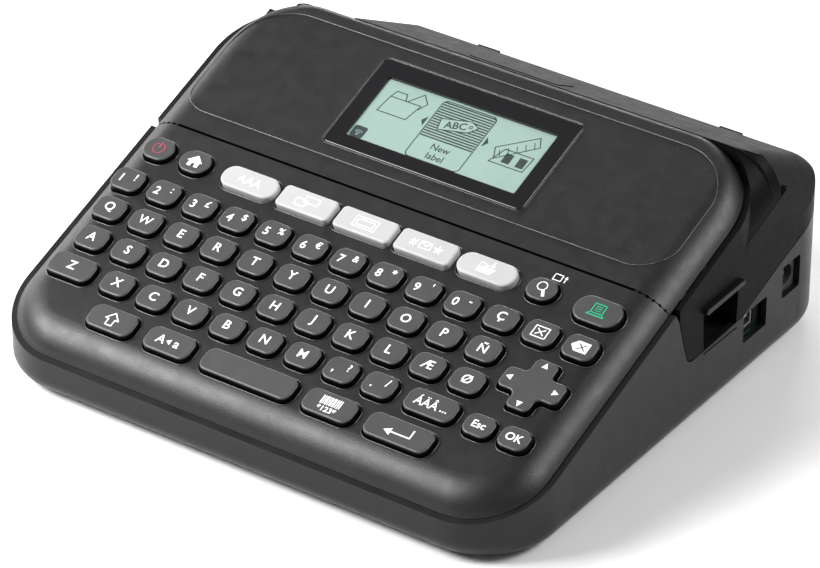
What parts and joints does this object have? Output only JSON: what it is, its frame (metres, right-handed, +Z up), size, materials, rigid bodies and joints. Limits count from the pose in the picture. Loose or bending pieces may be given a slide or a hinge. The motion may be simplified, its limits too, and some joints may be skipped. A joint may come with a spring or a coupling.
{
  "type": "label maker",
  "caption": "Desktop label maker with a sloping keyboard, grey-green display, hinged tape compartment cover at the rear and a cutter lever beside it",
  "frame": {"origin": "bottom centre of the whole machine, on the surface it stands on", "axes": "+Z up, -Y towards the user at the keyboard, +X to the user's right"},
  "size_m": [0.188, 0.178, 0.0695],
  "materials": {
    "case_black": "fine moulded texture, satin black",
    "gloss_black": "polished black",
    "smoke_clear": "smoked clear plastic",
    "lcd_glass": "grey-green liquid crystal panel",
    "key_black": "satin dark grey keys",
    "key_grey": "satin light grey keys",
    "silicone": "matt silicone",
    "circuit_board": "green solder mask",
    "steel": "plain steel",
    "inner_plastic": "matt dark grey plastic",
    "cassette_plastic": "grey cassette plastic",
    "tape": "white label tape",
    "gear_plastic": "natural acetal",
    "motor_can": "zinc plated can",
    "head_aluminium": "plain aluminium",
    "foot_rubber": "matt rubber",
    "cell_wrap": "plain printed wrap"
  },
  "bodies": {
    "base": {"base_shell": "case_black", "battery_cells": "cell_wrap", "battery_contacts": "steel", "case_screws": "steel", "cassette_case": "cassette_plastic", "cover_hinge_pins": "steel", "cutter_anvil": "steel", "dc_jack": "inner_plastic", "display_deck": "case_black", "display_inlay": "case_black", "display_window": "gloss_black", "drive_motor": "motor_can", "idler_pin": "steel", "keyboard_bezel": "case_black", "keyboard_pcb": "circuit_board", "keypad_mat": "silicone", "lcd_module": "lcd_glass", "left_casing": "case_black", "lever_pin": "steel", "main_pcb": "circuit_board", "print_head": "head_aluminium", "rubber_feet": "foot_rubber", "tape_chassis": "inner_plastic", "usb_socket": "steel"},
    "cover": {"rear_cover": "case_black", "cover_window": "smoke_clear"},
    "battery_door": {"battery_cover": "case_black"},
    "lever": {"cutter_lever": "inner_plastic"},
    "blade": {"cutter_blade": "steel"},
    "platen": {"platen_roller": "foot_rubber", "platen_gear": "gear_plastic"},
    "idler": {"idler_gear": "gear_plastic"},
    "pinion": {"motor_pinion": "gear_plastic"},
    "spindle": {"take_up_spindle": "gear_plastic", "take_up_spool": "tape"},
    "spool": {"tape_spool": "tape"},
    "digit_keys": {"digit_keys": "key_black"},
    "clear_all_key": {"clear_all_key": "key_black"},
    "backspace_key": {"backspace_key": "key_black"},
    "q_row_keys": {"q_row_keys": "key_black"},
    "a_row_keys": {"a_row_keys": "key_black"},
    "z_row_keys": {"z_row_keys": "key_black"},
    "accent_key": {"accent_key": "key_black"},
    "escape_key": {"escape_key": "key_black"},
    "ok_key": {"ok_key": "key_black"},
    "shift_key": {"shift_key": "key_black"},
    "caps_key": {"caps_key": "key_black"},
    "space_key": {"space_key": "key_black"},
    "symbol_key": {"symbol_key": "key_black"},
    "enter_key": {"enter_key": "key_black"},
    "power_key": {"power_key": "key_black"},
    "home_key": {"home_key": "key_black"},
    "text_size_key": {"text_size_key": "key_grey"},
    "layout_key": {"layout_key": "key_grey"},
    "frame_key": {"frame_key": "key_grey"},
    "special_key": {"special_key": "key_grey"},
    "file_key": {"file_key": "key_grey"},
    "preview_key": {"preview_key": "key_black"},
    "print_key": {"print_key": "key_black"},
    "arrow_pad": {"arrow_pad": "key_black"}
  },
  "joints": [
    {"name": "digit_press", "type": "slide", "parent": "base", "child": "digit_keys", "axis": [0, 0.342, -0.9397], "range_m": [0, 0.0012], "stiffness_N_per_m": 3300, "springref_m": -0.0004},
    {"name": "clear_all_press", "type": "slide", "parent": "base", "child": "clear_all_key", "axis": [0, 0.342, -0.9397], "range_m": [0, 0.0012], "stiffness_N_per_m": 300, "springref_m": -0.0004},
    {"name": "backspace_press", "type": "slide", "parent": "base", "child": "backspace_key", "axis": [0, 0.342, -0.9397], "range_m": [0, 0.0012], "stiffness_N_per_m": 300, "springref_m": -0.0004},
    {"name": "q_row_press", "type": "slide", "parent": "base", "child": "q_row_keys", "axis": [0, 0.342, -0.9397], "range_m": [0, 0.0012], "stiffness_N_per_m": 3300, "springref_m": -0.0004},
    {"name": "a_row_press", "type": "slide", "parent": "base", "child": "a_row_keys", "axis": [0, 0.342, -0.9397], "range_m": [0, 0.0012], "stiffness_N_per_m": 3300, "springref_m": -0.0004},
    {"name": "z_row_press", "type": "slide", "parent": "base", "child": "z_row_keys", "axis": [0, 0.342, -0.9397], "range_m": [0, 0.0012], "stiffness_N_per_m": 2700, "springref_m": -0.0004},
    {"name": "accent_press", "type": "slide", "parent": "base", "child": "accent_key", "axis": [0, 0.342, -0.9397], "range_m": [0, 0.0012], "stiffness_N_per_m": 300, "springref_m": -0.0004},
    {"name": "escape_press", "type": "slide", "parent": "base", "child": "escape_key", "axis": [0, 0.342, -0.9397], "range_m": [0, 0.0012], "stiffness_N_per_m": 300, "springref_m": -0.0004},
    {"name": "ok_press", "type": "slide", "parent": "base", "child": "ok_key", "axis": [0, 0.342, -0.9397], "range_m": [0, 0.0012], "stiffness_N_per_m": 300, "springref_m": -0.0004},
    {"name": "shift_press", "type": "slide", "parent": "base", "child": "shift_key", "axis": [0, 0.342, -0.9397], "range_m": [0, 0.0012], "stiffness_N_per_m": 300, "springref_m": -0.0004},
    {"name": "caps_press", "type": "slide", "parent": "base", "child": "caps_key", "axis": [0, 0.342, -0.9397], "range_m": [0, 0.0012], "stiffness_N_per_m": 300, "springref_m": -0.0004},
    {"name": "space_press", "type": "slide", "parent": "base", "child": "space_key", "axis": [0, 0.342, -0.9397], "range_m": [0, 0.0012], "stiffness_N_per_m": 300, "springref_m": -0.0004},
    {"name": "symbol_press", "type": "slide", "parent": "base", "child": "symbol_key", "axis": [0, 0.342, -0.9397], "range_m": [0, 0.0012], "stiffness_N_per_m": 300, "springref_m": -0.0004},
    {"name": "enter_press", "type": "slide", "parent": "base", "child": "enter_key", "axis": [0, 0.342, -0.9397], "range_m": [0, 0.0012], "stiffness_N_per_m": 300, "springref_m": -0.0004},
    {"name": "power_press", "type": "slide", "parent": "base", "child": "power_key", "axis": [0, 0.342, -0.9397], "range_m": [0, 0.0012], "stiffness_N_per_m": 300, "springref_m": -0.0004},
    {"name": "home_press", "type": "slide", "parent": "base", "child": "home_key", "axis": [0, 0.342, -0.9397], "range_m": [0, 0.0012], "stiffness_N_per_m": 300, "springref_m": -0.0004},
    {"name": "text_size_press", "type": "slide", "parent": "base", "child": "text_size_key", "axis": [0, 0.342, -0.9397], "range_m": [0, 0.0012], "stiffness_N_per_m": 300, "springref_m": -0.0004},
    {"name": "layout_press", "type": "slide", "parent": "base", "child": "layout_key", "axis": [0, 0.342, -0.9397], "range_m": [0, 0.0012], "stiffness_N_per_m": 300, "springref_m": -0.0004},
    {"name": "frame_press", "type": "slide", "parent": "base", "child": "frame_key", "axis": [0, 0.342, -0.9397], "range_m": [0, 0.0012], "stiffness_N_per_m": 300, "springref_m": -0.0004},
    {"name": "special_press", "type": "slide", "parent": "base", "child": "special_key", "axis": [0, 0.342, -0.9397], "range_m": [0, 0.0012], "stiffness_N_per_m": 300, "springref_m": -0.0004},
    {"name": "file_press", "type": "slide", "parent": "base", "child": "file_key", "axis": [0, 0.342, -0.9397], "range_m": [0, 0.0012], "stiffness_N_per_m": 300, "springref_m": -0.0004},
    {"name": "preview_press", "type": "slide", "parent": "base", "child": "preview_key", "axis": [0, 0.342, -0.9397], "range_m": [0, 0.0012], "stiffness_N_per_m": 300, "springref_m": -0.0004},
    {"name": "print_press", "type": "slide", "parent": "base", "child": "print_key", "axis": [0, 0.342, -0.9397], "range_m": [0, 0.0012], "stiffness_N_per_m": 300, "springref_m": -0.0004},
    {"name": "arrow_pad_press", "type": "slide", "parent": "base", "child": "arrow_pad", "axis": [0, 0.342, -0.9397], "range_m": [0, 0.0012], "stiffness_N_per_m": 300, "springref_m": -0.0004},
    {"name": "cover_hinge", "type": "hinge", "parent": "base", "child": "cover", "pos_m": [0, 0.0862, 0.045], "axis": [-1, 0, 0], "range_deg": [0, 80]},
    {"name": "battery_door_hinge", "type": "hinge", "parent": "base", "child": "battery_door", "pos_m": [0, 0.01075, 0.00205], "axis": [1, 0, 0], "range_deg": [0, 60]},
    {"name": "cutter_lever_hinge", "type": "hinge", "parent": "base", "child": "lever", "pos_m": [-0.078, 0.057, 0.034], "axis": [-1, 0, 0], "range_deg": [0, 10], "stiffness_Nm_per_rad": 1.5, "springref_deg": -2.86},
    {"name": "blade_slide", "type": "slide", "parent": "base", "child": "blade", "axis": [0, -1, 0], "range_m": [0, 0.0062]},
    {"name": "spindle_turn", "type": "hinge", "parent": "base", "child": "spindle", "pos_m": [-0.03509, 0.05314, 0.0095], "axis": [0, 0, 1], "continuous": true},
    {"name": "platen_turn", "type": "hinge", "parent": "base", "child": "platen", "pos_m": [-0.054, 0.036, 0.0095], "axis": [0, 0, 1], "continuous": true},
    {"name": "idler_turn", "type": "hinge", "parent": "base", "child": "idler", "pos_m": [-0.05636, 0.04939, 0.0095], "axis": [0, 0, 1], "continuous": true},
    {"name": "pinion_turn", "type": "hinge", "parent": "base", "child": "pinion", "pos_m": [-0.0573, 0.06015, 0.0095], "axis": [0, 0, 1], "continuous": true},
    {"name": "spool_turn", "type": "hinge", "parent": "base", "child": "spool", "pos_m": [-0.00509, 0.05314, 0.0095], "axis": [0, 0, 1], "continuous": true}
  ],
  "couplings": [
    {"joint": "idler_turn", "follows": "spindle_turn", "ratio": -1.8421},
    {"joint": "platen_turn", "follows": "spindle_turn", "ratio": 2.3333},
    {"joint": "pinion_turn", "follows": "spindle_turn", "ratio": 4.375},
    {"joint": "blade_slide", "follows": "cutter_lever_hinge", "m_per_rad": 0.0345}
  ]
}
